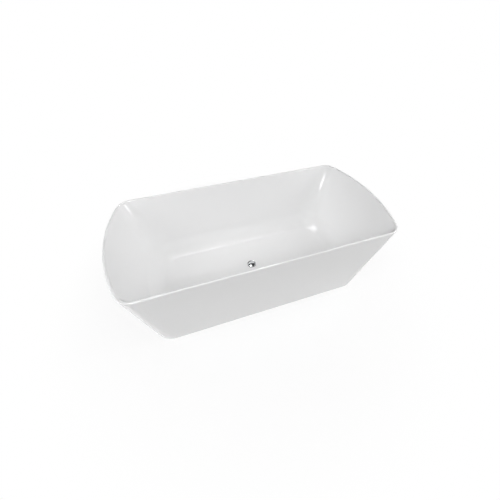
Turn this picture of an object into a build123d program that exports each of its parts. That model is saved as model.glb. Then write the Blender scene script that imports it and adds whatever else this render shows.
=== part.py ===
from build123d import *
import math
import os
from dataclasses import dataclass

# Freestanding double-shell bathtub, in millimetres. The origin lies on the floor under the middle of the
# tub, +X runs along its length, +Y towards the back and +Z up.

# Rim, seen from above: straight sides, ends that bow outwards and rounded corners.
tub_length = 1700.0
tub_width = 800.0
tub_height = 600.0
rim_bow = 88.0
rim_corner = 88.0
rim_width = 12.0
rim_thickness = 8.0
rim_outer_round = 4.0
rim_inner_round = 5.0

# Foot of the outer shell, drawn in from the rim at the ends and the sides.
base_end_tuck = 72.0
base_side_tuck = 74.0
base_bow = 66.0
base_corner = 125.0
skirt_wall = 5.0
skirt_lift = 2.0

# Inner shell: wall slopes from upright, coves at the foot of the walls, and the floor.
basin_wall = 6.0
side_slope = 9.8
end_slope = 18.2
side_cove = 150.0
end_cove = 170.0
crease_angle = 22.0
floor_edge_height = 142.0
floor_bow = 80.0
corner_growth = 0.3
floor_fall = 8.0
floor_thickness = 14.0
sump_half_length = 48.0
sump_half_width = 44.0
sump_bow = 24.0
sump_corner = 20.0
cove_steps = 8
wall_steps = 3
round_steps = 3

# Board under the floor, and the steel frame under the board.
board_thickness = 18.0
board_inset = 20.0
board_hole_radius = 46.0
bar_size = 30.0
bar_wall = 2.0
bar_round = 3.0
rail_offset = 150.0
rail_overhang = 60.0
crossbar_offset = 430.0
batten_thickness = 18.0
batten_overhang = 60.0

# Fasteners of the frame.
fastener_clearance = 0.2
frame_bolt_radius = 4.0
frame_bolt_head_radius = 7.5
frame_bolt_head_height = 5.3
frame_nut_height = 6.5
frame_bolt_tip = 2.0
board_screw_radius = 2.5
board_screw_head_radius = 5.0
board_screw_head_height = 3.0
board_screw_grip = 14.0
board_screw_spacing = 250.0
bracket_leg = 32.0
bracket_width = 24.0
bracket_thickness = 3.0
bracket_screw_radius = 2.0
bracket_screw_head_radius = 3.8
bracket_screw_head_height = 2.4
bracket_screw_grip = 10.0
bracket_screw_offset = 19.0

# Levelling feet: a threaded bolt that turns on a pad, a nut inside the crossbar and a lock nut below it.
foot_side_inset = 175.0
foot_bolt_radius = 6.0
foot_bolt_clearance = 0.1
foot_bolt_above_bar = 15.0
foot_bolt_shoulder_radius = 9.8
foot_bolt_shoulder_height = 7.0
foot_bolt_spigot_radius = 4.0
foot_bolt_spigot_length = 8.0
foot_bolt_hole_clearance = 0.6
pad_radius = 30.0
pad_edge_height = 4.0
pad_top_radius = 14.0
pad_height = 12.0
pad_socket_clearance = 0.3
pad_socket_spare = 1.0
bar_nut_radius = 12.5
bar_nut_height = 12.0
lock_nut_radius = 11.0
lock_nut_height = 7.0

# Waste fitting in the middle of the floor.
flange_radius = 33.0
flange_thickness = 3.0
flange_crest_radius = 29.5
flange_edge_height = 1.0
dish_radius = 24.5
dish_depth = 2.0
throat_radius = 20.0
waste_body_radius = 23.9
waste_body_length = 60.0
waste_hole_clearance = 0.6
thread_clearance = 0.1
seal_thickness = 1.5
seal_inset = 1.5
washer_thickness = 3.0
washer_radius = 35.0
back_nut_radius = 38.0
back_nut_height = 10.0
spoke_count = 4
spoke_width = 3.0
spoke_height = 6.0
boss_wall = 3.0

# Push plug with its click cartridge.
cap_gap = 1.0
cap_base_gap = 0.5
cap_edge = 1.5
cap_dome = 3.0
plug_seal_radius = 1.6
plug_seal_gap = 0.2
seal_groove_clearance = 0.1
carrier_height = 3.4
stem_radius = 3.0
stem_clearance = 0.1
plug_press = 3.0
plug_travel = 10.0
cartridge_radius = 8.0
cartridge_length = 28.0
cartridge_wall = 2.0
cartridge_floor = 3.0
cartridge_lid = 3.0
cartridge_shoulder_radius = 10.5
cartridge_shoulder_height = 2.0
cartridge_drop = 19.6
collar_thickness = 2.0
collar_clearance = 0.3
collar_spare = 0.5
stem_tail = 3.0
spring_wire = 0.5
spring_side_gap = 0.4
spring_turns = 5.0
spring_end_gap = 0.1

# Tail pipe and the union nut that holds it.
tail_radius = 20.0
tail_bore = 17.5
tail_neck_radius = 19.0
tail_neck_below_nut = 5.0
tail_flange_radius = 23.5
tail_flange_thickness = 3.0
tail_washer_thickness = 2.0
tail_floor_gap = 14.0
union_nut_radius = 31.0
union_nut_lip = 4.0
union_nut_grip = 14.0

# Levels that follow from the sizes above, measured from the floor.
rim_rise = tub_height - floor_edge_height
rim_underside = tub_height - rim_thickness
drain_level = floor_edge_height - floor_fall
floor_underside = floor_edge_height - floor_thickness
board_underside = floor_underside - board_thickness
rail_underside = board_underside - bar_size
bar_underside = rail_underside - bar_size


@dataclass
class Outline:
    """Plan shape of the tub at one level: straight sides, bowed ends and round corners."""

    half_length: float
    half_width: float
    bow: float
    corner: float

    def end_radius(self):
        """Radius of the end's arc, which rises by the bow over the half width."""
        return (self.half_width**2 + self.bow**2) / (2 * self.bow)

    def grown(self, by):
        """The same outline moved outwards by an even distance."""
        radius = self.end_radius() + by
        half_width = self.half_width + by
        bow = radius - math.sqrt(radius**2 - half_width**2)
        return Outline(self.half_length + by, half_width, bow, self.corner + by)

    def face(self, level):
        """Flat face of this outline at a level."""
        radius = self.end_radius()
        end_centre = self.half_length - radius
        corner_y = self.half_width - self.corner
        corner_x = end_centre + math.sqrt((radius - self.corner) ** 2 - corner_y**2)
        turn = math.atan2(corner_y, corner_x - end_centre)
        half_turn = (turn + math.pi / 2) / 2
        join_x = end_centre + radius * math.cos(turn)
        join_y = radius * math.sin(turn)
        bend_x = corner_x + self.corner * math.cos(half_turn)
        bend_y = corner_y + self.corner * math.sin(half_turn)

        def at(x, y):
            return (x, y, level)

        def corner(side_x, side_y, outwards):
            stops = [at(side_x * join_x, side_y * join_y)]
            stops.append(at(side_x * bend_x, side_y * bend_y))
            stops.append(at(side_x * corner_x, side_y * self.half_width))
            return ThreePointArc(*(stops if outwards else reversed(stops)))

        edges = [
            ThreePointArc(at(join_x, -join_y), at(self.half_length, 0), at(join_x, join_y)),
            corner(1, 1, True),
            Line(at(corner_x, self.half_width), at(-corner_x, self.half_width)),
            corner(-1, 1, False),
            ThreePointArc(at(-join_x, join_y), at(-self.half_length, 0), at(-join_x, -join_y)),
            corner(-1, -1, True),
            Line(at(-corner_x, -self.half_width), at(corner_x, -self.half_width)),
            corner(1, -1, False),
        ]
        return Face(Wire(edges))


rim = Outline(tub_length / 2, tub_width / 2, rim_bow, rim_corner)
base = Outline(tub_length / 2 - base_end_tuck, tub_width / 2 - base_side_tuck, base_bow, base_corner)
rim_inside = rim.grown(-rim_width)
sump = Outline(sump_half_length, sump_half_width, sump_bow, sump_corner)


def wall_touch(slope, cove, grow=0.0):
    """Height above the floor's edge at which a cove runs into the straight wall above it."""
    centre = cove * math.cos(math.radians(crease_angle))
    return centre - (cove + grow) * math.sin(math.radians(slope))


def wall_reach(height, rim_reach, slope, cove, grow):
    """Distance of a wall from the tub's middle: a straight sloped wall above a round cove."""
    lean = math.radians(slope)
    centre_height = cove * math.cos(math.radians(crease_angle))
    touch = wall_touch(slope, cove)
    centre_reach = rim_reach - (rim_rise - touch) * math.tan(lean) - cove * math.cos(lean)
    radius = cove + grow
    own_touch = wall_touch(slope, cove, grow)
    if height >= own_touch:
        return centre_reach + radius * math.cos(lean) + (height - own_touch) * math.tan(lean)
    return centre_reach + math.sqrt(radius**2 - (centre_height - height) ** 2)


def cove_top():
    """Height above the floor's edge at which both coves have run into their walls."""
    return max(wall_touch(side_slope, side_cove), wall_touch(end_slope, end_cove))


def side_reach(height, grow=0.0):
    """Distance of the inner shell's side wall from the tub's middle line."""
    return wall_reach(height, rim_inside.half_width, side_slope, side_cove, grow)


def basin_outline(height, grow=0.0):
    """Plan shape of the inner shell at a height above the floor's edge, inside or grown by a wall. The corners
    widen with depth down the walls, and narrow again in the cove by as much as it draws in."""
    share = height / rim_rise
    half_length = wall_reach(height, rim_inside.half_length, end_slope, end_cove, grow)
    half_width = side_reach(height, grow)
    inside_width = side_reach(height)
    bow = floor_bow + (rim_inside.bow - floor_bow) * share
    corner = rim_inside.corner + corner_growth * (rim_rise - max(height, cove_top()))
    corner -= max(side_reach(cove_top()) - inside_width, 0)
    radius = (inside_width**2 + bow**2) / (2 * bow) + grow
    grown_bow = radius - math.sqrt(radius**2 - half_width**2)
    return Outline(half_length, half_width, grown_bow, corner + grow)


def basin_levels(top):
    """Heights above the floor's edge at which the inner shell is drawn: close in the coves, then wider."""
    foot = cove_top()
    heights = [foot * (step / cove_steps) ** 2 for step in range(cove_steps + 1)]
    return heights + [foot + (top - foot) * step / wall_steps for step in range(1, wall_steps + 1)]


def tub_hull(inset):
    """Solid inside the outer shell's faces, moved inwards by an inset, from its foot up to the rim."""
    return loft([base.grown(-inset).face(skirt_lift), rim.grown(-inset).face(rim_underside)], ruled=True)


def quarter_round(radius):
    """Steps of a rounded edge from upright to flat: how far each has moved in, and its height."""
    turns = [math.pi / 2 * step / round_steps for step in range(round_steps + 1)]
    return [(radius * (1 - math.cos(turn)), radius * math.sin(turn)) for turn in turns]


def layer(low, high):
    """Slab between two levels, wider than the tub."""
    middle = (low + high) / 2
    return Pos(0, 0, middle) * Box(2 * tub_length, 2 * tub_width, high - low)


def ring(inner, outer, low, high):
    """Round washer or tube on the waste's axis between two levels."""
    outside = Cylinder(outer, high - low) - Cylinder(inner, high - low)
    return Pos(0, 0, (low + high) / 2) * outside


def turned(points):
    """Solid of revolution about the Z axis from a closed half section of radius and level."""
    section = Polyline(*[(radius, 0, level) for radius, level in points], close=True)
    return revolve(Face(Wire(section.edges())), Axis.Z)


def hexagon(radius, low, high):
    """Six-sided block on the Z axis between two levels, with its corners at a radius."""
    return Pos(0, 0, low) * extrude(RegularPolygon(radius, 6), high - low)


def rod(radius, low, high):
    """Plain round rod on the Z axis between two levels."""
    return Pos(0, 0, (low + high) / 2) * Cylinder(radius, high - low)


def headed_screw(radius, length, head_radius, head_height):
    """Round-headed screw: the head's underside lies at the origin and the shank points along +Z."""
    return rod(radius, 0, length) + rod(head_radius, -head_height, 0)


def square_tube(length):
    """Square steel tube along X with rounded edges, centred on the origin."""
    outside = RectangleRounded(bar_size, bar_size, bar_round)
    inside = Rectangle(bar_size - 2 * bar_wall, bar_size - 2 * bar_wall)
    return extrude(Plane.YZ * (outside - inside), length / 2, both=True)


def skirt_inner_width(level):
    """Half width between the flat long sides of the outer shell at a level, inside its wall."""
    share = (level - skirt_lift) / (rim_underside - skirt_lift)
    return tub_width / 2 - base_side_tuck * (1 - share) - skirt_wall


batten_face = skirt_inner_width(bar_underside) - batten_thickness
waste_hole_radius = waste_body_radius + waste_hole_clearance


def basin_outside():
    """Solid inside the inner shell's outer face: floor slab, coves, walls and the rim with its round edge."""
    sections = [basin_outline(0, basin_wall).face(floor_underside)]
    for height in basin_levels(rim_rise - rim_thickness):
        sections.append(basin_outline(height, basin_wall).face(floor_edge_height + height))
    sections.append(rim.face(rim_underside))
    for inwards, rise in quarter_round(rim_outer_round):
        sections.append(rim.grown(-inwards).face(tub_height - rim_outer_round + rise))
    return loft(sections, ruled=True)


def basin_space():
    """Space inside the inner shell: the floor's fall, coves, walls and the rim's round inner edge."""
    sections = [sump.face(drain_level)]
    for height in basin_levels(rim_rise - rim_inner_round):
        sections.append(basin_outline(height).face(floor_edge_height + height))
    for outwards, rise in quarter_round(rim_inner_round)[1:]:
        mouth = basin_outline(rim_rise - rim_inner_round + rise).grown(outwards)
        sections.append(mouth.face(tub_height - rim_inner_round + rise))
    sections.append(mouth.face(tub_height + rim_thickness))
    return loft(sections, ruled=True)


def basin():
    """Inner shell with the floor's fall to the drain and the flat rim that closes the outer shell."""
    shell = basin_outside() - basin_space()
    return shell - rod(waste_hole_radius, floor_underside, drain_level)


def skirt():
    """Outer shell: one sloped wall all round, open above and below, glued under the rim."""
    return tub_hull(0) - tub_hull(skirt_wall)


def floor_board():
    """Plywood board glued under the basin's floor, with a round hole for the waste."""
    plan = basin_outline(0, basin_wall).grown(-board_inset)
    board = Solid.extrude(plan.face(board_underside), (0, 0, board_thickness))
    board -= rod(board_hole_radius, board_underside, floor_underside)
    for spot in board_screw_spots():
        board -= spot * rod(board_screw_radius + fastener_clearance, 0, board_screw_length + fastener_clearance)
    return board


board_screw_length = bar_size + board_screw_grip


def board_screw_spots():
    """Places of the screws that go up through the rails into the board."""
    steps = [-board_screw_spacing, 0, board_screw_spacing]
    return [Pos(x, y, rail_underside) for x in steps for y in (-rail_offset, rail_offset)]


def frame_bolt_spots():
    """Places where a rail crosses a crossbar."""
    sides = [(x, y) for x in (-crossbar_offset, crossbar_offset) for y in (-rail_offset, rail_offset)]
    return [Pos(x, y, bar_underside) for x, y in sides]


frame_bolt_length = bar_size + bar_wall + frame_nut_height + frame_bolt_tip


def rail(side):
    """Long steel tube under the board, at the front or at the back."""
    level = rail_underside + bar_size / 2
    tube = Pos(0, side * rail_offset, level) * square_tube(2 * (crossbar_offset + rail_overhang))
    for spot in board_screw_spots():
        tube -= spot * rod(board_screw_radius + fastener_clearance, 0, bar_size)
    for spot in frame_bolt_spots():
        tube -= spot * rod(frame_bolt_radius + fastener_clearance, 0, frame_bolt_length)
    return tube


def crossbar(side):
    """Steel tube across the tub below the rails, from batten to batten, which carries two feet."""
    level = bar_underside + bar_size / 2
    tube = Pos(side * crossbar_offset, 0, level) * Rot(0, 0, 90) * square_tube(2 * batten_face)
    for spot in frame_bolt_spots():
        tube -= spot * rod(frame_bolt_radius + fastener_clearance, 0, frame_bolt_length)
    for place in foot_places().values():
        tube -= place * rod(foot_bolt_radius + foot_bolt_hole_clearance, 0, foot_bolt_top)
    for spot in bracket_screw_spots():
        tube -= spot * rod(bracket_screw_radius + fastener_clearance, 0, bracket_screw_length)
    return tube


def batten(side):
    """Wooden strip glued inside a long side of the outer shell, with its outer face on the shell's slope."""
    profile = [
        (0, side * batten_face, bar_underside),
        (0, side * skirt_inner_width(bar_underside), bar_underside),
        (0, side * skirt_inner_width(rail_underside), rail_underside),
        (0, side * batten_face, rail_underside),
    ]
    section = Face(Wire(Polyline(*profile, close=True).edges()))
    strip = extrude(section, crossbar_offset + batten_overhang, dir=(1, 0, 0), both=True)
    for spot in bracket_screw_spots():
        strip -= spot * rod(bracket_screw_radius + fastener_clearance, 0, bracket_screw_depth)
    return strip


bracket_screw_length = bracket_thickness + bracket_screw_grip
bracket_screw_depth = bracket_screw_length + fastener_clearance


def bracket_places():
    """Inner corners between a crossbar's end and a batten: the place and the two directions of the legs."""
    level = bar_underside + bar_size / 2
    reach = crossbar_offset - bar_size / 2
    return [(x * reach, y * batten_face, level, -x, -y) for x in (-1, 1) for y in (-1, 1)]


def bracket_screw_spots():
    """Places of the screws through both legs of each bracket, with the shank along the local +Z."""
    spots = []
    for x, y, level, inwards_x, inwards_y in bracket_places():
        bar_side = (x + inwards_x * bracket_thickness, y + inwards_y * bracket_screw_offset, level)
        batten_side = (x + inwards_x * bracket_screw_offset, y + inwards_y * bracket_thickness, level)
        spots.append(Plane(bar_side, x_dir=(0, 0, 1), z_dir=(-inwards_x, 0, 0)).location)
        spots.append(Plane(batten_side, x_dir=(0, 0, 1), z_dir=(0, -inwards_y, 0)).location)
    return spots


def angle_brackets():
    """Steel angles that hold the crossbars' ends to the battens."""
    angles = []
    for x, y, level, inwards_x, inwards_y in bracket_places():
        bar_leg = Box(bracket_thickness, bracket_leg, bracket_width)
        batten_leg = Box(bracket_leg, bracket_thickness, bracket_width)
        bar_leg = Pos(inwards_x * bracket_thickness / 2, inwards_y * bracket_leg / 2, 0) * bar_leg
        batten_leg = Pos(inwards_x * bracket_leg / 2, inwards_y * bracket_thickness / 2, 0) * batten_leg
        angle = Pos(x, y, level) * (bar_leg + batten_leg)
        for spot in bracket_screw_spots():
            angle -= spot * rod(bracket_screw_radius + fastener_clearance, 0, bracket_thickness)
        angles.append(angle)
    return Compound(children=angles)


def bracket_screws():
    """Screws of the angle brackets."""
    shape = headed_screw(
        bracket_screw_radius, bracket_screw_length, bracket_screw_head_radius, bracket_screw_head_height
    )
    return Compound(children=[spot * shape for spot in bracket_screw_spots()])


def board_screws():
    """Screws that hold the rails to the board."""
    shape = headed_screw(
        board_screw_radius, board_screw_length, board_screw_head_radius, board_screw_head_height
    )
    return Compound(children=[spot * shape for spot in board_screw_spots()])


def frame_bolts():
    """Hexagon bolts that hold the rails on the crossbars."""
    head = hexagon(frame_bolt_head_radius, -frame_bolt_head_height, 0)
    shape = head + rod(frame_bolt_radius, 0, frame_bolt_length)
    return Compound(children=[spot * shape for spot in frame_bolt_spots()])


def frame_nuts():
    """Nuts of the frame bolts, on the rails' lower wall."""
    low = bar_size + bar_wall
    shape = hexagon(frame_bolt_head_radius, low, low + frame_nut_height)
    shape -= rod(frame_bolt_radius + thread_clearance, low, low + frame_nut_height)
    return Compound(children=[spot * shape for spot in frame_bolt_spots()])


def foot_places():
    """Places of the four feet, by name."""
    sides = {"front_left": (-1, -1), "front_right": (1, -1), "back_left": (-1, 1), "back_right": (1, 1)}
    reach = tub_width / 2 - foot_side_inset
    return {name: Pos(x * crossbar_offset, y * reach, 0) for name, (x, y) in sides.items()}


foot_bolt_top = rail_underside + foot_bolt_above_bar


def foot_pad():
    """Plastic foot with a sloped top and a socket in which the bolt turns."""
    socket_radius = foot_bolt_spigot_radius + pad_socket_clearance
    socket_floor = pad_height - foot_bolt_spigot_length - pad_socket_spare
    return turned([
        (0, 0), (pad_radius, 0), (pad_radius, pad_edge_height), (pad_top_radius, pad_height),
        (socket_radius, pad_height), (socket_radius, socket_floor), (0, socket_floor),
    ])


def foot_bolt():
    """Threaded bolt of a foot, with a hexagon shoulder for the spanner and a spigot in the pad."""
    shoulder_top = pad_height + foot_bolt_shoulder_height
    spigot = rod(foot_bolt_spigot_radius, pad_height - foot_bolt_spigot_length, pad_height)
    shoulder = hexagon(foot_bolt_shoulder_radius, pad_height, shoulder_top)
    return spigot + shoulder + rod(foot_bolt_radius, shoulder_top, foot_bolt_top)


def foot_nuts(radius, low, high):
    """One nut at each foot bolt between two levels."""
    shape = hexagon(radius, low, high) - rod(foot_bolt_radius + foot_bolt_clearance, low, high)
    return Compound(children=[place * shape for place in foot_places().values()])


flange_underside = drain_level + seal_thickness
flange_top = flange_underside + flange_thickness
dish_level = flange_top - dish_depth
throat_level = dish_level - (dish_radius - throat_radius)
waste_bottom = drain_level - waste_body_length
cap_underside = dish_level - cap_gap + cap_base_gap
carrier_underside = cap_underside - carrier_height
cartridge_top = carrier_underside - plug_press
cartridge_bottom = cartridge_top - cartridge_length
shoulder_level = cartridge_top - cartridge_drop


def waste_flange():
    """Chrome waste: dished flange, conical seat, threaded body and the spokes that hold the cartridge."""
    body = turned([
        (throat_radius, waste_bottom), (waste_body_radius, waste_bottom),
        (waste_body_radius, flange_underside), (flange_radius, flange_underside),
        (flange_radius, flange_underside + flange_edge_height), (flange_crest_radius, flange_top),
        (dish_radius, dish_level), (throat_radius, throat_level),
    ])
    spoke_low = shoulder_level - spoke_height
    hub = rod(cartridge_radius + thread_clearance + boss_wall, spoke_low, shoulder_level)
    web = Pos(0, 0, spoke_low + spoke_height / 2) * Box(2 * throat_radius + 1, spoke_width, spoke_height)
    for step in range(spoke_count // 2):
        hub += Rot(0, 0, step * 360 / spoke_count) * web
    return body + hub - rod(cartridge_radius + thread_clearance, spoke_low, shoulder_level)


def waste_seal():
    """Soft ring between the flange and the basin's floor."""
    return ring(waste_hole_radius, flange_radius - seal_inset, drain_level, flange_underside)


def waste_washer():
    """Rubber washer under the basin's floor."""
    low = floor_underside - washer_thickness
    return ring(waste_body_radius + thread_clearance, washer_radius, low, floor_underside)


def waste_back_nut():
    """Plastic nut that clamps the waste to the floor."""
    high = floor_underside - washer_thickness
    low = high - back_nut_height
    return hexagon(back_nut_radius, low, high) - rod(waste_body_radius + thread_clearance, low, high)


def plug_cap():
    """Domed chrome cap with the seal's carrier below it."""
    radius = dish_radius - cap_gap
    edge = cap_underside + cap_edge
    ball = (radius**2 + cap_dome**2) / (2 * cap_dome)
    disc = rod(radius, cap_underside, edge)
    dome = Pos(0, 0, edge + cap_dome - ball) * Sphere(ball) & layer(edge, edge + cap_dome)
    return disc + dome + rod(carrier_radius, carrier_underside, cap_underside)


plug_seal_level = cap_underside - plug_seal_radius
seat_reach = dish_radius - dish_level + plug_seal_level
plug_seal_reach = seat_reach - (plug_seal_radius + plug_seal_gap) * math.sqrt(2)
carrier_radius = plug_seal_reach - plug_seal_radius - seal_groove_clearance


def plug_seal():
    """Rubber ring under the cap's edge, just off its conical seat."""
    return Pos(0, 0, plug_seal_level) * Torus(plug_seal_reach, plug_seal_radius)


chamber_radius = cartridge_radius - cartridge_wall
chamber_floor = cartridge_bottom + cartridge_floor
chamber_top = cartridge_top - cartridge_lid
collar_top = chamber_top - plug_travel - collar_spare
collar_underside = collar_top - collar_thickness


def plug_stem():
    """Stem under the cap, with the collar that the spring pushes on."""
    shaft = rod(stem_radius, collar_underside - stem_tail, carrier_underside)
    return shaft + rod(chamber_radius - collar_clearance, collar_underside, collar_top)


def cartridge_housing():
    """Cup of the click cartridge, with the shoulder that sits on the spokes."""
    cup = rod(cartridge_radius, cartridge_bottom, chamber_top) - rod(chamber_radius, chamber_floor, chamber_top)
    shoulder_top = shoulder_level + cartridge_shoulder_height
    return cup + ring(chamber_radius + cartridge_wall / 2, cartridge_shoulder_radius, shoulder_level, shoulder_top)


def cartridge_cap():
    """Screwed lid of the cartridge, which guides the stem."""
    return ring(stem_radius + stem_clearance, cartridge_radius, chamber_top, cartridge_top)


def plug_spring():
    """Coil spring under the stem's collar, at its length with the plug closed."""
    radius = chamber_radius - spring_side_gap - spring_wire
    low = chamber_floor + spring_wire + spring_end_gap
    high = collar_underside - spring_wire - spring_end_gap
    path = Pos(0, 0, low) * Helix((high - low) / spring_turns, high - low, radius)
    section = Plane(path @ 0, z_dir=path % 0) * Circle(spring_wire)
    return sweep(section, path, is_frenet=True)


tail_top = waste_bottom - tail_washer_thickness
tail_flange_low = tail_top - tail_flange_thickness
union_nut_low = tail_flange_low - union_nut_lip
tail_neck_low = union_nut_low - tail_neck_below_nut


def tail_washer():
    """Rubber washer between the waste and the tail pipe."""
    return ring(tail_bore, tail_flange_radius, tail_top, waste_bottom)


def tail_pipe():
    """Pipe below the waste whose plain end takes the drain's socket."""
    return turned([
        (tail_bore, tail_floor_gap), (tail_radius, tail_floor_gap), (tail_radius, tail_neck_low),
        (tail_neck_radius, tail_neck_low), (tail_neck_radius, tail_flange_low),
        (tail_flange_radius, tail_flange_low), (tail_flange_radius, tail_top), (tail_bore, tail_top),
    ])


def union_nut():
    """Nut that pulls the tail pipe's flange up against the waste."""
    high = waste_bottom + union_nut_grip
    nut = hexagon(union_nut_radius, union_nut_low, high)
    nut -= rod(tail_neck_radius + thread_clearance, union_nut_low, tail_flange_low)
    return nut - rod(waste_body_radius + thread_clearance, tail_flange_low, high)


nodes = {
    "basin": basin(),
    "skirt": skirt(),
    "floor_board": floor_board(),
    "rail_front": rail(-1),
    "rail_back": rail(1),
    "crossbar_left": crossbar(-1),
    "crossbar_right": crossbar(1),
    "batten_front": batten(-1),
    "batten_back": batten(1),
    "angle_brackets": angle_brackets(),
    "bracket_screws": bracket_screws(),
    "board_screws": board_screws(),
    "frame_bolts": frame_bolts(),
    "frame_nuts": frame_nuts(),
    "foot_bar_nuts": foot_nuts(bar_nut_radius, bar_underside + bar_wall, bar_underside + bar_wall + bar_nut_height),
    "foot_lock_nuts": foot_nuts(lock_nut_radius, bar_underside - lock_nut_height, bar_underside),
    "waste_flange": waste_flange(),
    "waste_seal": waste_seal(),
    "waste_washer": waste_washer(),
    "waste_back_nut": waste_back_nut(),
    "cartridge_housing": cartridge_housing(),
    "cartridge_cap": cartridge_cap(),
    "plug_spring": plug_spring(),
    "plug_cap": plug_cap(),
    "plug_seal": plug_seal(),
    "plug_stem": plug_stem(),
    "tail_washer": tail_washer(),
    "tail_pipe": tail_pipe(),
    "union_nut": union_nut(),
}
for foot, place in foot_places().items():
    nodes["foot_pad_" + foot] = place * foot_pad()
    nodes["foot_bolt_" + foot] = place * foot_bolt()

os.makedirs("parts", exist_ok=True)
for name, shape in nodes.items():
    export_step(shape, "parts/" + name + ".step")
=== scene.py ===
import math
import bpy
import numpy as np
from mathutils import Matrix, Vector


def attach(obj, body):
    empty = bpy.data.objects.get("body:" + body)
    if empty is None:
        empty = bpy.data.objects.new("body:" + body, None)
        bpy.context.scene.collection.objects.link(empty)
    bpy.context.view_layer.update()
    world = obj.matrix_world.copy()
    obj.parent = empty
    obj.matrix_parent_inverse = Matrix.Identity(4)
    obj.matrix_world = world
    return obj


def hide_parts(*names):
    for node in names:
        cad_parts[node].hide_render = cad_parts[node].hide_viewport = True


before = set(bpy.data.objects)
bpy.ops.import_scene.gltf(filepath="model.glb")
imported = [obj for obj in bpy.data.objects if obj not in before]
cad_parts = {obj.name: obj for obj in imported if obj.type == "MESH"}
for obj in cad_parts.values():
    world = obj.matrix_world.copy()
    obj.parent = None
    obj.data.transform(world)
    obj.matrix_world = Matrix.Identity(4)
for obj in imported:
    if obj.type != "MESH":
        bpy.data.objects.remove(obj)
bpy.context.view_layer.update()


# Levelling feet: moulded grey plastic pads that stand on the floor.
# Each takes the spigot of its bolt in a socket, and is hidden behind the skirt.
def mottle_group():
    """Shader group of fine mottling: two noises in object space, one broad and one fine, are mixed.
    The mixture moves a colour lighter or darker by Amount, roughness between two ends, and gives a height."""
    group = bpy.data.node_groups.new("mottle", "ShaderNodeTree")
    make = group.interface.new_socket
    make("Colour", in_out="INPUT", socket_type="NodeSocketColor")
    for name, default in [("Scale", 20.0), ("Amount", 0.05), ("Rough low", 0.3), ("Rough high", 0.5)]:
        make(name, in_out="INPUT", socket_type="NodeSocketFloat").default_value = default
    make("Stretch", in_out="INPUT", socket_type="NodeSocketVector").default_value = (1, 1, 1)
    make("Colour", in_out="OUTPUT", socket_type="NodeSocketColor")
    make("Roughness", in_out="OUTPUT", socket_type="NodeSocketFloat")
    make("Height", in_out="OUTPUT", socket_type="NodeSocketFloat")
    add = group.nodes.new
    link = group.links.new
    given = add("NodeGroupInput")
    out = add("NodeGroupOutput")
    place = add("ShaderNodeTexCoord")
    stretched = add("ShaderNodeVectorMath")
    stretched.operation = "MULTIPLY"
    link(place.outputs["Object"], stretched.inputs[0])
    link(given.outputs["Stretch"], stretched.inputs[1])
    noises = []
    for detail, factor in [(3.0, 1.0), (6.0, 7.0)]:
        scale = add("ShaderNodeMath")
        scale.operation = "MULTIPLY"
        scale.inputs[1].default_value = factor
        link(given.outputs["Scale"], scale.inputs[0])
        noise = add("ShaderNodeTexNoise")
        noise.inputs["Detail"].default_value = detail
        link(stretched.outputs[0], noise.inputs["Vector"])
        link(scale.outputs[0], noise.inputs["Scale"])
        noises.append(noise)
    mixed = add("ShaderNodeMix")
    mixed.inputs["Factor"].default_value = 0.35
    link(noises[0].outputs["Fac"], mixed.inputs["A"])
    link(noises[1].outputs["Fac"], mixed.inputs["B"])
    centred = add("ShaderNodeMath")
    centred.operation = "SUBTRACT"
    centred.inputs[1].default_value = 0.5
    link(mixed.outputs["Result"], centred.inputs[0])
    lift = add("ShaderNodeMath")
    lift.operation = "MULTIPLY_ADD"
    lift.inputs[2].default_value = 1.0
    link(centred.outputs[0], lift.inputs[0])
    link(given.outputs["Amount"], lift.inputs[1])
    tinted = add("ShaderNodeVectorMath")
    tinted.operation = "SCALE"
    link(given.outputs["Colour"], tinted.inputs[0])
    link(lift.outputs[0], tinted.inputs["Scale"])
    rough = add("ShaderNodeMapRange")
    rough.inputs["From Min"].default_value = 0.25
    rough.inputs["From Max"].default_value = 0.75
    link(mixed.outputs["Result"], rough.inputs["Value"])
    link(given.outputs["Rough low"], rough.inputs["To Min"])
    link(given.outputs["Rough high"], rough.inputs["To Max"])
    link(tinted.outputs[0], out.inputs["Colour"])
    link(rough.outputs[0], out.inputs["Roughness"])
    link(mixed.outputs["Result"], out.inputs["Height"])
    return group


mottle = mottle_group()


def finish(name, colour, scale, amount, rough, bump=0.0, stretch=(1, 1, 1), **sockets):
    """Material whose colour, roughness and bump come from the mottle group.
    The other sockets of its shader take plain values."""
    material = bpy.data.materials.new(name)
    material.use_nodes = True
    nodes = material.node_tree.nodes
    link = material.node_tree.links.new
    shader = nodes["Principled BSDF"]
    variation = nodes.new("ShaderNodeGroup")
    variation.node_tree = mottle
    variation.inputs["Colour"].default_value = (*colour, 1)
    variation.inputs["Scale"].default_value = scale
    variation.inputs["Amount"].default_value = amount
    variation.inputs["Rough low"].default_value = rough[0]
    variation.inputs["Rough high"].default_value = rough[1]
    variation.inputs["Stretch"].default_value = stretch
    link(variation.outputs["Colour"], shader.inputs["Base Color"])
    link(variation.outputs["Roughness"], shader.inputs["Roughness"])
    if bump:
        relief = nodes.new("ShaderNodeBump")
        relief.inputs["Strength"].default_value = bump
        relief.inputs["Distance"].default_value = 0.001
        link(variation.outputs["Height"], relief.inputs["Height"])
        link(relief.outputs["Normal"], shader.inputs["Normal"])
    for socket, value in sockets.items():
        shader.inputs[socket.replace("_", " ")].default_value = value
    return material


def dress(material, *names):
    """Gives CAD nodes a material in all their slots."""
    for name in names:
        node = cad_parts[name]
        node.data.materials.clear()
        node.data.materials.append(material)


foot_names = ["front_left", "front_right", "back_left", "back_right"]
pad_plastic = finish(
    "pad_plastic", colour=(0.10, 0.105, 0.11), scale=60, amount=0.25, rough=(0.42, 0.6), bump=0.25
)
dress(pad_plastic, *["foot_pad_" + name for name in foot_names])

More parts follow.
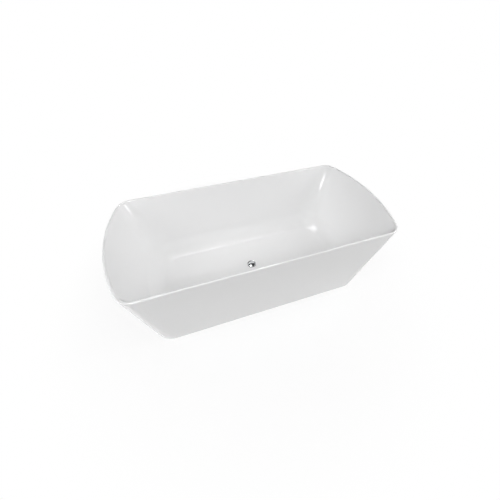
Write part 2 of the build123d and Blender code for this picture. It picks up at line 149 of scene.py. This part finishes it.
# Bolts, nuts, screws and angle brackets: zinc-plated steel, turned, pressed or bent.
# The foot bolts turn in nuts inside the crossbars; the rest hold the frame together.
zinc = finish(
    "zinc_plating", colour=(0.60, 0.61, 0.62), scale=90, amount=0.3, rough=(0.22, 0.45),
    bump=0.15, Metallic=1.0,
)
dress(zinc, *["foot_bolt_" + name for name in foot_names])
dress(zinc, "foot_bar_nuts", "foot_lock_nuts", "frame_bolts", "frame_nuts", "board_screws")
dress(zinc, "angle_brackets", "bracket_screws", "plug_spring")

# Frame: two rails and two crossbars of square steel tube, powder coated dark grey.
# The rails are screwed up into the board, and the crossbars are bolted under the rails.
powder_coat = finish(
    "powder_coat", colour=(0.075, 0.078, 0.082), scale=220, amount=0.35, rough=(0.4, 0.58), bump=0.35
)
dress(powder_coat, "rail_front", "rail_back", "crossbar_left", "crossbar_right")


# Board under the floor and battens inside the skirt: plywood and softwood, glued in place.
# Growth rings run along the length, and the board's edge shows its plies.
along_grain = 0.06
across_grain = 1.0


def wood(name, light, dark, ring_scale, ply):
    """Wood from a band wave bent by noise, long along X; the plies are bands in height."""
    material = bpy.data.materials.new(name)
    material.use_nodes = True
    nodes = material.node_tree.nodes
    link = material.node_tree.links.new
    shader = nodes["Principled BSDF"]
    place = nodes.new("ShaderNodeTexCoord")
    long_grain = nodes.new("ShaderNodeMapping")
    long_grain.inputs["Scale"].default_value = (along_grain, across_grain, ply)
    link(place.outputs["Object"], long_grain.inputs["Vector"])
    rings = nodes.new("ShaderNodeTexWave")
    rings.bands_direction = "DIAGONAL"
    rings.inputs["Scale"].default_value = ring_scale
    rings.inputs["Distortion"].default_value = 6.0
    rings.inputs["Detail"].default_value = 4.0
    link(long_grain.outputs["Vector"], rings.inputs["Vector"])
    shades = nodes.new("ShaderNodeValToRGB")
    shades.color_ramp.elements[0].color = (*dark, 1)
    shades.color_ramp.elements[1].color = (*light, 1)
    link(rings.outputs["Fac"], shades.inputs["Fac"])
    variation = nodes.new("ShaderNodeGroup")
    variation.node_tree = mottle
    variation.inputs["Scale"].default_value = 8.0
    variation.inputs["Amount"].default_value = 0.35
    variation.inputs["Rough low"].default_value = 0.5
    variation.inputs["Rough high"].default_value = 0.75
    link(shades.outputs["Color"], variation.inputs["Colour"])
    link(variation.outputs["Colour"], shader.inputs["Base Color"])
    link(variation.outputs["Roughness"], shader.inputs["Roughness"])
    relief = nodes.new("ShaderNodeBump")
    relief.inputs["Strength"].default_value = 0.3
    relief.inputs["Distance"].default_value = 0.0006
    link(rings.outputs["Fac"], relief.inputs["Height"])
    link(relief.outputs["Normal"], shader.inputs["Normal"])
    return material


plywood = wood("plywood", light=(0.52, 0.37, 0.22), dark=(0.41, 0.27, 0.15), ring_scale=46.0, ply=5.0)
dress(plywood, "floor_board")
batten_wood = wood("batten_wood", light=(0.60, 0.45, 0.28), dark=(0.48, 0.33, 0.18), ring_scale=60.0, ply=1.0)
dress(batten_wood, "batten_front", "batten_back")

# Hidden parts of the waste: black rubber seals, grey and white moulded plastic nuts and pipe.
# The click cartridge and the stem under the plug are turned brass.
rubber = finish(
    "black_rubber", colour=(0.02, 0.02, 0.021), scale=120, amount=0.4, rough=(0.55, 0.8), bump=0.3
)
dress(rubber, "waste_seal", "waste_washer", "plug_seal", "tail_washer")
nut_plastic = finish(
    "nut_plastic", colour=(0.16, 0.165, 0.17), scale=80, amount=0.25, rough=(0.38, 0.55), bump=0.2
)
dress(nut_plastic, "waste_back_nut")
pipe_plastic = finish(
    "pipe_plastic", colour=(0.78, 0.78, 0.75), scale=40, amount=0.08, rough=(0.25, 0.4), bump=0.1
)
dress(pipe_plastic, "tail_pipe", "union_nut")
brass = finish(
    "turned_brass", colour=(0.66, 0.48, 0.22), scale=150, amount=0.25, rough=(0.15, 0.32),
    stretch=(1, 1, 8), Metallic=1.0,
)
dress(brass, "cartridge_housing", "cartridge_cap", "plug_stem")

# Basin: one sheet of glossy white acrylic, vacuum formed, with a narrow flat rim turned out at the top.
# Its straight walls lean out above round coves, and its floor falls gently to the drain in the middle.
tub_length = 1.7
tub_width = 0.8
tub_height = 0.6
rim_bow = 0.088
rim_corner = 0.088
rim_width = 0.012
rim_thickness = 0.008
rim_outer_round = 0.004
rim_inner_round = 0.005
rim_bevel = 0.0003
basin_wall = 0.006
side_slope = math.radians(9.8)
end_slope = math.radians(18.2)
side_cove = 0.150
end_cove = 0.170
crease = math.radians(22)
floor_edge = 0.142
floor_bow = 0.080
corner_growth = 0.3
floor_fall = 0.008
floor_thickness = 0.014
crease_blend = 0.016
sump_shape = (0.048, 0.044, 0.024, 0.020)
drain_hole = 0.0245
drain_bevel = 0.001
drain_flat = 0.034
drain_z = floor_edge - floor_fall
rim_rise = tub_height - floor_edge
rim_underside = tub_height - rim_thickness
cove_top = side_cove * (math.cos(crease) - math.sin(side_slope))
end_points = 64
corner_points = 28
side_points = 40
floor_steps = [0, 0.02, 0.06, 0.15, 0.3, 0.45, 0.6, 0.75, 0.86, *np.linspace(0.92, 0.995, 12)]
inner_cove_rows = 40
inner_wall_rows = 16
outer_wall_rows = 12
outer_cove_rows = 24
round_rows = 9


def outline(half_length, half_width, bow, corner):
    """Plan outlines, one per row: an end arc that rises by the bow over the half width, a corner arc that
    touches it and the straight side, the side, and the next corner. The other half is the same shape,
    turned half round."""
    given = np.broadcast_arrays(half_length, half_width, bow, corner)
    half_length, half_width, bow, corner = [np.asarray(value, float)[:, None] for value in given]
    radius = (half_width**2 + bow**2) / (2 * bow)
    centre = half_length - radius
    corner_y = half_width - corner
    corner_x = centre + np.sqrt((radius - corner) ** 2 - corner_y**2)
    turn = np.arctan2(corner_y, corner_x - centre)
    end = np.linspace(-1, 1, end_points, endpoint=False) * turn
    bend = np.linspace(0, 1, corner_points, endpoint=False)
    first = turn + (np.pi / 2 - turn) * bend
    along = 1 - 2 * np.linspace(0, 1, side_points, endpoint=False)
    last = np.pi / 2 + (np.pi / 2 - turn) * bend
    x = [centre + radius * np.cos(end), corner_x + corner * np.cos(first)]
    x += [corner_x * along, -corner_x + corner * np.cos(last)]
    y = [radius * np.sin(end), corner_y + corner * np.sin(first)]
    y += [half_width + 0 * along, corner_y + corner * np.sin(last)]
    half = np.stack([np.concatenate(x, axis=1), np.concatenate(y, axis=1)], axis=-1)
    return np.concatenate([half, -half], axis=1)


def grown(half_length, half_width, bow, corner, by):
    """An outline's four values after it is moved outwards by an even distance."""
    radius = (half_width**2 + bow**2) / (2 * bow) + by
    wide = half_width + by
    return half_length + by, wide, radius - np.sqrt(radius**2 - wide**2), corner + by


rim_shape = (tub_length / 2, tub_width / 2, rim_bow, rim_corner)
rim_inside = grown(*rim_shape, -rim_width)


def wall_reach(height, rim_reach, slope, cove, grow):
    """Distance of a wall from the middle at heights above the floor's edge: a straight sloped wall that
    touches a round cove, both moved outwards by a wall thickness."""
    centre_height = cove * math.cos(crease)
    touch = centre_height - cove * math.sin(slope)
    centre_reach = rim_reach - (rim_rise - touch) * math.tan(slope) - cove * math.cos(slope)
    radius = cove + grow
    own_touch = centre_height - radius * math.sin(slope)
    straight = centre_reach + radius * math.cos(slope) + (height - own_touch) * math.tan(slope)
    drop = np.clip(centre_height - height, -radius, radius)
    return np.where(height >= own_touch, straight, centre_reach + np.sqrt(radius**2 - drop**2))


def basin_shape(height, grow=0.0):
    """The basin's outline values at heights above the floor's edge, inside or grown by the wall. The corners
    widen with depth down the walls, and narrow again in the cove by as much as it draws in."""
    share = height / rim_rise
    half_length = wall_reach(height, rim_inside[0], end_slope, end_cove, grow)
    half_width = wall_reach(height, rim_inside[1], side_slope, side_cove, grow)
    inner_width = wall_reach(height, rim_inside[1], side_slope, side_cove, 0.0)
    bow = floor_bow + (rim_inside[2] - floor_bow) * share
    cove_width = wall_reach(np.full_like(height, cove_top), rim_inside[1], side_slope, side_cove, 0.0)
    corner = rim_inside[3] + corner_growth * (rim_rise - np.maximum(height, cove_top))
    corner = corner - np.maximum(cove_width - inner_width, 0)
    radius = (inner_width**2 + bow**2) / (2 * bow) + grow
    return half_length, half_width, radius - np.sqrt(radius**2 - half_width**2), corner + grow


def level(points, z):
    """Rows of plan points with a height for each row."""
    z = np.broadcast_to(np.asarray(z, float)[:, None, None], points.shape[:2] + (1,))
    return np.concatenate([points, z], axis=-1)


sharp_angle = math.radians(38)


def grid_piece(name, rows, material, ends_meet=True):
    """Mesh of four-sided faces over a grid of points that closes on itself round each row. The last row joins
    the first, or, where the ends don't meet, one flat face closes each of them."""
    count, around = rows.shape[:2]
    index = np.arange(count * around).reshape(count, around)
    lower, upper = index, np.roll(index, -1, axis=0)
    closing = []
    if not ends_meet:
        lower, upper = lower[:-1], upper[:-1]
        closing = [index[0, ::-1].tolist(), index[-1].tolist()]
    faces = np.stack([lower, np.roll(lower, -1, axis=1), np.roll(upper, -1, axis=1), upper], axis=-1)
    mesh = bpy.data.meshes.new(name)
    mesh.from_pydata(rows.reshape(-1, 3), [], faces.reshape(-1, 4).tolist() + closing)
    mesh.polygons.foreach_set("use_smooth", np.ones(len(mesh.polygons), bool))
    mesh.set_sharp_from_angle(angle=sharp_angle)
    mesh.materials.append(material)
    piece = bpy.data.objects.new(name, mesh)
    bpy.context.scene.collection.objects.link(piece)
    return piece


def disc_rows(radius, z):
    """A round row with as many points as an outline, each in the direction of the sump's own point."""
    ray = outline(*[[value] for value in sump_shape])
    return level(ray / np.linalg.norm(ray, axis=-1, keepdims=True) * radius, [z])


def quarter(radius, steps):
    """Steps of a rounded edge from upright to flat: the distance moved sideways, and the rise."""
    turn = np.linspace(0, np.pi / 2, steps)
    return radius * (1 - np.cos(turn)), radius * np.sin(turn)


def basin_rows():
    """Rows of the basin from the drain up the inside, over the rim and down the outside to the drain, then
    turned round so that the faces point outwards. The crease between floor and cove is eased by a parabola
    that rises with the square of the nearness."""
    sump = outline(*[[value] for value in sump_shape])
    edge = outline(*[np.atleast_1d(value) for value in basin_shape(np.zeros(1))])
    share = np.array(floor_steps)[:, None, None]
    floor = level(sump + (edge - sump) * share, drain_z + floor_fall * share[:, 0, 0])
    wall_top = rim_rise - rim_inner_round
    cove = cove_top * np.linspace(0, 1, inner_cove_rows) ** 2
    heights = np.concatenate([cove, np.linspace(cove_top, wall_top, inner_wall_rows)[1:]])
    inside = level(outline(*basin_shape(heights)), floor_edge + heights)
    for rows in (floor, inside):
        gap = np.linalg.norm(rows[..., :2] - edge, axis=-1)
        rows[..., 2] += math.tan(crease) * np.maximum(crease_blend - gap, 0) ** 2 / (4 * crease_blend)
    out, rise = quarter(rim_inner_round, round_rows)
    mouth = grown(*basin_shape(wall_top + rise[1:]), out[1:])
    lip = level(outline(*mouth), tub_height - rim_inner_round + rise[1:])
    inwards, rise = quarter(rim_outer_round, round_rows)
    inwards, rise = inwards[::-1], rise[::-1]
    brow = level(outline(*grown(*rim_shape, -inwards)), tub_height - rim_outer_round + rise)
    under = outline(*grown(*rim_shape, np.array([0.0, -rim_bevel])))
    under = level(under, [rim_underside + rim_bevel, rim_underside])
    cove = cove_top * np.linspace(1, 0, outer_cove_rows)[1:] ** 2
    heights = np.concatenate([np.linspace(rim_rise - rim_thickness, cove_top, outer_wall_rows), cove])
    outside = level(outline(*basin_shape(heights, basin_wall)), floor_edge + heights)
    slab = outside[-1:].copy()
    slab[..., 2] = floor_edge - floor_thickness
    rows = [disc_rows(drain_hole, drain_z - drain_bevel), disc_rows(drain_hole + drain_bevel, drain_z)]
    rows += [disc_rows(drain_flat, drain_z), floor, inside, lip, brow, under, outside, slab]
    rows += [disc_rows(drain_hole, floor_edge - floor_thickness)]
    return np.concatenate(rows)[::-1]


acrylic = finish(
    "white_acrylic", colour=(0.858, 0.858, 0.86), scale=3.0, amount=0.012, rough=(0.03, 0.055),
    bump=0.02, IOR=1.49,
)
basin = grid_piece("basin_shell", basin_rows(), acrylic)
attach(basin, "tub")
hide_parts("basin")

# Skirt: the outer shell, a second sheet of the same acrylic with straight walls that lean in to the floor.
# Its top edge is glued under the basin's rim, and its foot stops just above the floor.
base_end_tuck = 0.072
base_side_tuck = 0.074
base_bow = 0.066
base_corner = 0.125
base_shape = (tub_length / 2 - base_end_tuck, tub_width / 2 - base_side_tuck, base_bow, base_corner)
skirt_wall = 0.005
skirt_lift = 0.002
skirt_edge = 0.0006
skirt_steps = [0, 0.0012, *np.linspace(0.02, 0.98, 30), 0.9995, 1]


def skirt_rows():
    """Rows of the skirt up its outside and down its inside, each a straight step between two outlines.
    The first and the last row of each wall are drawn in towards the middle, which breaks the edges."""
    share = np.array(skirt_steps)[:, None, None]
    z = skirt_lift + (rim_underside - skirt_lift) * share[:, 0, 0]
    rows = []
    for inset in (0.0, skirt_wall):
        foot, top = [outline(*[[v] for v in grown(*shape, -inset)]) for shape in (base_shape, rim_shape)]
        rows.append(level(foot + (top - foot) * share, z))
    outer, inner = rows
    middle = (outer + inner) / 2
    for wall in rows:
        for row in (0, -1):
            wall[row, :, :2] += (middle[row, :, :2] - wall[row, :, :2]) * (2 * skirt_edge / skirt_wall)
    return np.concatenate([outer, inner[::-1]])


skirt = grid_piece("skirt_shell", skirt_rows(), acrylic)
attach(skirt, "tub")
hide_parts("skirt")

# Waste flange: cast brass, turned, polished and chromed, with a dished ring that sits in the floor.
# Four spokes in its throat hold the click cartridge.
chrome = finish(
    "polished_chrome", colour=(0.80, 0.81, 0.82), scale=60, amount=0.06, rough=(0.03, 0.08), Metallic=1.0
)
seal_thickness = 0.0015
flange_thickness = 0.003
flange_lip = 0.001
flange_round = 0.0012
flange_low = drain_z + seal_thickness
flange_top = flange_low + flange_thickness
flange_radius = 0.033
crest_radius = 0.0295
dish_radius = 0.0245
throat = 0.020
body_radius = 0.0239
dish_drop = 0.002
throat_drop = 0.0065
body_depth = 0.060
body_bottom = drain_z - body_depth
seam_rise = 0.010
seam_z = body_bottom + seam_rise
turn_points = 128
bend_share = 0.45


def rounded(profile, radius, steps=5):
    """A profile of radius and height with each inner point replaced by a short parabolic bend, which takes
    up the radius, or a fixed share of a line that is too short for it."""
    profile = np.asarray(profile, float)
    before, here, after = profile[:-2], profile[1:-1], profile[2:]
    share = np.linspace(0, 1, steps)[None, :, None]
    reach = [np.linalg.norm(other - here, axis=1, keepdims=True) for other in (before, after)]
    start = here + (before - here) / reach[0] * np.minimum(radius, reach[0] * bend_share)
    stop = here + (after - here) / reach[1] * np.minimum(radius, reach[1] * bend_share)
    bends = start[:, None] * (1 - share) ** 2 + 2 * here[:, None] * share * (1 - share)
    bends = bends + stop[:, None] * share**2
    return np.concatenate([profile[:1], bends.reshape(-1, 2), profile[-1:]])


def turned_rows(profile):
    """Rows of a solid of revolution about the upright axis from a profile of radius and height."""
    angle = np.linspace(0, 2 * np.pi, turn_points, endpoint=False)
    ring = np.stack([np.cos(angle), np.sin(angle)], axis=-1)
    return level(profile[:, 0][:, None, None] * ring, profile[:, 1])


flange_profile = [
    (throat, seam_z), (throat, flange_top - throat_drop), (dish_radius, flange_top - dish_drop),
    (crest_radius, flange_top), (flange_radius, flange_low + flange_lip), (flange_radius, flange_low),
    (body_radius, flange_low), (body_radius, body_bottom), (throat, body_bottom), (throat, seam_z),
]
flange_rows = turned_rows(rounded(flange_profile, flange_round)[:-1])
flange = grid_piece("drain_flange", flange_rows[::-1], chrome)
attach(flange, "tub")
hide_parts("waste_flange")
spoke_half = 0.0015
spoke_overlap = 0.0005
hub_radius = 0.0111
hub_bore = 0.0081
spoke_reach = throat + spoke_overlap
spoke_low = 0.104
spoke_high = 0.110
spoke_edge = 0.0004


def spider_rows():
    """Rows of a bored hub with four spokes, turned round so that the faces point outwards. About the axis the
    plan reaches to the hub's radius or, in a spoke, to half its width over the sine of the angle from its
    middle, but no further than the throat's wall."""
    tip, root = math.asin(spoke_half / spoke_reach), math.asin(spoke_half / hub_radius)
    turns = [(-root, -tip, 10), (-tip, tip, 4), (tip, root, 10), (root, math.pi / 2 - root, 12)]
    quarter_turn = np.concatenate([np.linspace(*turn, endpoint=False) for turn in turns])
    angle = (np.arange(4)[:, None] * math.pi / 2 + quarter_turn).ravel()
    away = np.abs((angle + math.pi / 4) % (math.pi / 2) - math.pi / 4)
    reach = np.clip(spoke_half / np.maximum(np.sin(away), 1e-6), hub_radius, spoke_reach)
    bore = np.full_like(reach, hub_bore)
    radius = np.stack([bore, bore, reach - spoke_edge, reach, reach, reach - spoke_edge])
    plan = radius[..., None] * np.stack([np.cos(angle), np.sin(angle)], axis=-1)
    z = [spoke_low, spoke_high, spoke_high, spoke_high - spoke_edge, spoke_low + spoke_edge, spoke_low]
    return level(plan, z)[::-1]


spider = grid_piece("drain_spider", spider_rows(), chrome)
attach(spider, "tub")
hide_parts("waste_flange")

# Plug: a domed chrome cap that lies in the flange's dish, with the carrier of its rubber ring below.
# A push clicks it up to open and down to close.
cap_radius = 0.0235
cap_drop = 0.0025
cap_rim = 0.0015
cap_dome = 0.003
cap_round = 0.0006
carrier_radius = 0.01815
carrier_depth = 0.0034
pole_radius = 0.0002
dome_points = 24
cap_low = flange_top - cap_drop
cap_edge = cap_low + cap_rim
carrier_low = cap_low - carrier_depth


def cap_profile():
    """Half section of the cap from the middle of its dome, which is a parabola, round its edge to the middle
    of its underside."""
    radius = np.linspace(pole_radius, cap_radius, dome_points)
    dome = np.stack([radius, cap_edge + cap_dome * (1 - (radius / cap_radius) ** 2)], axis=-1)
    edge = [(cap_radius, cap_low), (carrier_radius, cap_low)]
    edge += [(carrier_radius, carrier_low), (pole_radius, carrier_low)]
    return np.concatenate([dome, rounded([dome[-1], *edge], cap_round)[1:]])


cap = grid_piece("plug_dome", turned_rows(cap_profile())[::-1], chrome, ends_meet=False)
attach(cap, "plug")
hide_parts("plug_cap")

# Floor of the stage: a plain matt sheet that looks white but keeps the tub's soft shadow.
# The white fades in with the distance from the tub, where the shadow ends.
def seen_directly(nodes, link):
    """One where the ray comes from the camera, a reflection or a refraction, and zero for other light:
    the largest of the three flags."""
    path = nodes.new("ShaderNodeLightPath")
    total = path.outputs["Is Camera Ray"]
    for name in ("Is Glossy Ray", "Is Transmission Ray"):
        either = nodes.new("ShaderNodeMath")
        either.operation = "MAXIMUM"
        link(total, either.inputs[0])
        link(path.outputs[name], either.inputs[1])
        total = either.outputs[0]
    return total


def floor_material():
    """Pale matt floor that shows white to the camera but still takes the tub's soft shadow."""
    material = bpy.data.materials.new("studio_floor")
    material.use_nodes = True
    nodes = material.node_tree.nodes
    link = material.node_tree.links.new
    shader = nodes["Principled BSDF"]
    shader.inputs["Base Color"].default_value = (0.85, 0.85, 0.85, 1)
    shader.inputs["Roughness"].default_value = 0.9
    seen = seen_directly(nodes, link)
    place = nodes.new("ShaderNodeTexCoord")
    distance = nodes.new("ShaderNodeVectorMath")
    distance.operation = "LENGTH"
    link(place.outputs["Object"], distance.inputs[0])
    fade = nodes.new("ShaderNodeMapRange")
    fade.interpolation_type = "SMOOTHSTEP"
    fade.inputs["From Min"].default_value = 0.5
    fade.inputs["From Max"].default_value = 1.5
    fade.inputs["To Min"].default_value = 0.75
    link(distance.outputs["Value"], fade.inputs["Value"])
    share = nodes.new("ShaderNodeMath")
    share.operation = "MULTIPLY"
    link(seen, share.inputs[0])
    link(fade.outputs[0], share.inputs[1])
    white = nodes.new("ShaderNodeEmission")
    both = nodes.new("ShaderNodeMixShader")
    link(share.outputs[0], both.inputs["Fac"])
    link(shader.outputs[0], both.inputs[1])
    link(white.outputs[0], both.inputs[2])
    link(both.outputs[0], nodes["Material Output"].inputs["Surface"])
    return material


floor_half = 12.0
floor_mesh = bpy.data.meshes.new("studio_floor")
corners = floor_half * np.array([(-1, -1, 0), (1, -1, 0), (1, 1, 0), (-1, 1, 0)])
floor_mesh.from_pydata(corners, [], [(0, 1, 2, 3)])
floor_mesh.materials.append(floor_material())
studio_floor = bpy.data.objects.new("studio_floor", floor_mesh)
bpy.context.scene.collection.objects.link(studio_floor)

# Surround of the stage: white where the camera looks, with a weak even light on everything else.
# In reflections it is white near the horizon and dims towards the ceiling.
world = bpy.data.worlds.new("studio")
bpy.context.scene.world = world
world.use_nodes = True
world_nodes = world.node_tree.nodes
world_link = world.node_tree.links.new
ambient = world_nodes["Background"]
ambient.inputs["Color"].default_value = (1, 1, 1, 1)
ambient.inputs["Strength"].default_value = 0.03
direction = world_nodes.new("ShaderNodeTexCoord")
upward = world_nodes.new("ShaderNodeSeparateXYZ")
world_link(direction.outputs["Generated"], upward.inputs[0])
ceiling = world_nodes.new("ShaderNodeMapRange")
ceiling.interpolation_type = "SMOOTHSTEP"
ceiling.inputs["From Min"].default_value = 0.05
ceiling.inputs["From Max"].default_value = 0.30
ceiling.inputs["To Min"].default_value = 1.0
ceiling.inputs["To Max"].default_value = 0.08
world_link(upward.outputs["Z"], ceiling.inputs["Value"])
looked_at = world_nodes.new("ShaderNodeLightPath")
paler = world_nodes.new("ShaderNodeMath")
paler.operation = "MAXIMUM"
world_link(ceiling.outputs[0], paler.inputs[0])
world_link(looked_at.outputs["Is Camera Ray"], paler.inputs[1])
backdrop = world_nodes.new("ShaderNodeBackground")
world_link(paler.outputs[0], backdrop.inputs["Color"])
choice = world_nodes.new("ShaderNodeMixShader")
world_link(seen_directly(world_nodes, world_link), choice.inputs["Fac"])
world_link(ambient.outputs[0], choice.inputs[1])
world_link(backdrop.outputs[0], choice.inputs[2])
world_link(choice.outputs[0], world_nodes["World Output"].inputs["Surface"])

# Lamps: large soft boxes far to the right, to the left and in front, which light but aren't mirrored.
# Small ones are only mirrored: they make the highlights in the corners and along the floor's edge.
# The corner box is mirrored by the basin alone, so that the chrome stays dark beside its highlight.
def soft_box(name, place, aim, width, height, power, mirrored):
    """Rectangular area lamp at a place, turned towards a point: it lights, or it is only mirrored."""
    lamp = bpy.data.lights.new(name, "AREA")
    lamp.shape = "RECTANGLE"
    lamp.size = width
    lamp.size_y = height
    lamp.energy = power
    holder = bpy.data.objects.new(name, lamp)
    holder.location = place
    holder.rotation_euler = (Vector(aim) - Vector(place)).to_track_quat("-Z", "Y").to_euler()
    holder.visible_glossy = mirrored
    holder.visible_diffuse = not mirrored
    bpy.context.scene.collection.objects.link(holder)
    return holder


tub_middle = (0, 0, 0.4)
basin_middle = (0, 0, 0.5)
for name, place, side, power in [
    ("right_far_box", (12.7, 0, 3.8), 6.8, 480),
    ("right_box", (2.84, -0.76, 2.1), 1.8, 38),
    ("left_box", (-4.54, -1.22, 3.12), 2.9, 113),
    ("front_left_box", (-1.55, -1.55, 3.0), 1.8, 48),
    ("front_right_box", (1.55, -1.55, 3.0), 1.8, 26),
]:
    soft_box(name, place, tub_middle, side, side, power, mirrored=False)

soft_box("ceiling_box", (-0.35, 0.9, 3.2), (-0.35, 0.9, 0.4), 1.3, 0.5, 17, mirrored=True)
soft_box("ceiling_strip", (0.1, -0.95, 3.2), (0.1, -0.95, 0.4), 1.0, 0.3, 4, mirrored=True)
corner_box = soft_box("corner_box", (0.9, 1.3, 3.2), (0.9, 1.3, 0.4), 0.5, 0.5, 13, mirrored=True)
acrylic_only = bpy.data.collections.new("acrylic_only")
acrylic_only.objects.link(basin)
corner_box.light_linking.receiver_collection = acrylic_only
soft_box("left_strip", (-1.3, -2.5, 1.08), basin_middle, 0.7, 0.5, 15, mirrored=True)
soft_box("right_strip", (1.93, -1.87, 0.95), basin_middle, 0.7, 0.5, 8, mirrored=True)

# Camera: stands where the photograph was taken, high over the front left of the tub.
# Its place, angles and focal length were fitted to the outlines in the photograph.
camera_place = (-0.40599, -1.10464, 1.58318)
camera_yaw = math.radians(19.51)
camera_pitch = math.radians(47.73)
camera_roll = math.radians(0.75)
image_width = 500
focal_pixels = 249.64
flat = math.cos(camera_pitch)
forward = Vector((math.sin(camera_yaw) * flat, math.cos(camera_yaw) * flat, -math.sin(camera_pitch)))
level_right = Vector((math.cos(camera_yaw), -math.sin(camera_yaw), 0))
level_up = level_right.cross(forward)
right = math.cos(camera_roll) * level_right + math.sin(camera_roll) * level_up
up = math.cos(camera_roll) * level_up - math.sin(camera_roll) * level_right
lens = bpy.data.cameras.new("photo_camera")
lens.sensor_width = 36
lens.lens = focal_pixels / image_width * lens.sensor_width
camera = bpy.data.objects.new("photo_camera", lens)
turned = Matrix((right, up, -forward)).transposed().to_4x4()
camera.matrix_world = Matrix.Translation(camera_place) @ turned
bpy.context.scene.collection.objects.link(camera)
bpy.context.scene.camera = camera
bpy.context.scene.view_settings.view_transform = "Standard"
